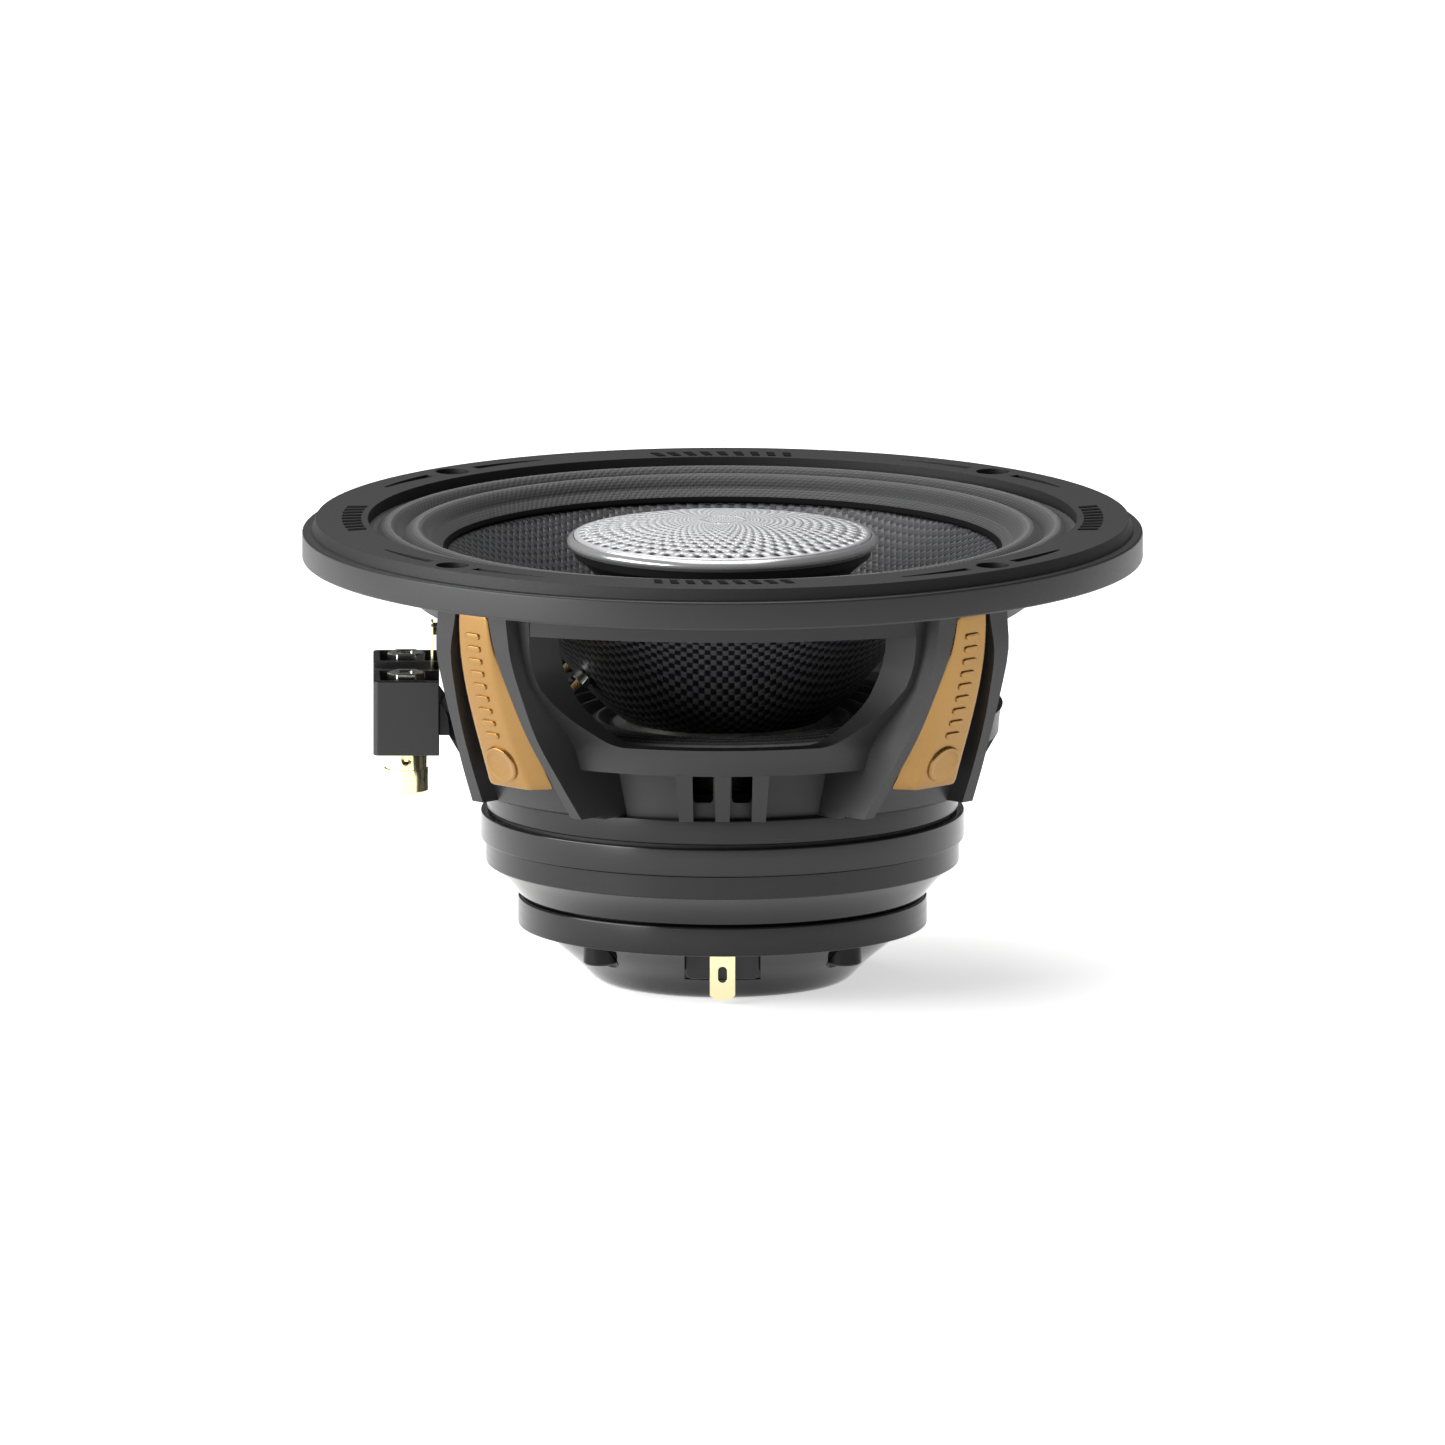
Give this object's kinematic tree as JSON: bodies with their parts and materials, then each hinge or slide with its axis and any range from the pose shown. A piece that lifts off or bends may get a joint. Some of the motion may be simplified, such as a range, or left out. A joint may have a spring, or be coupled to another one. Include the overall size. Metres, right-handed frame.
{
  "type": "coaxial car speaker",
  "caption": "Coaxial car speaker: woven cone with a horn-loaded rear driver under a perforated dome, in a cast basket with gold arm inserts and sprung wire posts.",
  "frame": {"origin": "centre of the bolt circle on the mounting face, the underside of the flange", "axes": "+Z towards the listener along the axis; the terminal block stands at -X"},
  "size_m": [0.166, 0.166, 0.092],
  "materials": {
    "cast_black": "satin black powder coat on cast aluminium",
    "gasket_rubber": "matt moulded rubber",
    "surround_cloth": "impregnated woven cloth",
    "cone_weave": "resin-coated woven fibre",
    "spider_cloth": "phenolic-dipped corrugated cloth",
    "former_aluminium": "rolled foil",
    "copper_wire": "enamelled wire",
    "horn_plastic": "moulded, matt black",
    "polished_silver": "polished",
    "silver_cover": "satin, perforated",
    "black_steel": "lathe-turned steel, black plated",
    "magnet": "ground ferrite",
    "band_gloss": "gloss black",
    "gloss_metal": "gloss black",
    "screw_black": "black oxide",
    "gold_insert": "satin gold anodised",
    "gold_plate": "polished gold plate",
    "terminal_plastic": "moulded black",
    "nickel": "nickel plated",
    "spring_steel": "drawn wire",
    "diaphragm_film": "formed foil",
    "braid": "braided tinsel"
  },
  "bodies": {
    "chassis": {"basket": "cast_black", "gasket": "gasket_rubber", "surround": "surround_cloth", "spider": "spider_cloth", "top_plate": "black_steel", "magnet_ring": "magnet", "magnet_band": "band_gloss", "back_plate": "black_steel", "horn": "horn_plastic", "cover_ring": "polished_silver", "perforated_cover": "silver_cover", "driver_adapter": "gloss_metal", "driver_magnet": "magnet", "driver_plate": "black_steel", "phase_plug": "former_aluminium", "driver_suspension": "diaphragm_film", "suspension_ring": "terminal_plastic", "rear_cap": "gloss_metal", "driver_screws": "screw_black", "rear_terminal_plate_front": "terminal_plastic", "rear_terminal_plate_back": "terminal_plastic", "rear_tab_front": "gold_plate", "rear_tab_back": "gold_plate", "arm_insert_1": "gold_insert", "arm_insert_2": "gold_insert", "arm_insert_3": "gold_insert", "arm_insert_4": "gold_insert", "basket_screws": "screw_black", "terminal_block": "terminal_plastic", "terminal_bracket": "terminal_plastic", "contact_nuts": "nickel", "post_collar_front": "gold_plate", "post_collar_back": "gold_plate", "post_spring_front": "spring_steel", "post_spring_back": "spring_steel", "solder_tags": "gold_plate", "tinsel_lead_front": "braid", "tinsel_lead_back": "braid"},
    "cone_assembly": {"cone": "cone_weave", "voice_coil_former": "former_aluminium", "voice_coil_winding": "copper_wire", "lead_eyelets": "nickel"},
    "driver_dome": {"driver_diaphragm": "diaphragm_film", "driver_coil": "copper_wire"},
    "push_cap_front": {"push_cap_front": "gold_plate"},
    "push_cap_back": {"push_cap_back": "gold_plate"}
  },
  "joints": [
    {"name": "cone_stroke", "type": "slide", "parent": "chassis", "child": "cone_assembly", "axis": [0, 0, 1], "range_m": [-0.0035, 0.0035], "stiffness_N_per_m": 2000, "deforming": ["surround", "spider", "tinsel_lead_front", "tinsel_lead_back"]},
    {"name": "driver_stroke", "type": "slide", "parent": "chassis", "child": "driver_dome", "axis": [0, 0, 1], "range_m": [-0.0003, 0.0003], "stiffness_N_per_m": 3000, "deforming": ["driver_suspension"]},
    {"name": "push_front", "type": "slide", "parent": "chassis", "child": "push_cap_front", "axis": [0, 0, 1], "range_m": [0, 0.0016], "stiffness_N_per_m": 900, "springref_m": -0.002, "deforming": ["post_spring_front"]},
    {"name": "push_back", "type": "slide", "parent": "chassis", "child": "push_cap_back", "axis": [0, 0, 1], "range_m": [0, 0.0016], "stiffness_N_per_m": 900, "springref_m": -0.002, "deforming": ["post_spring_back"]}
  ]
}
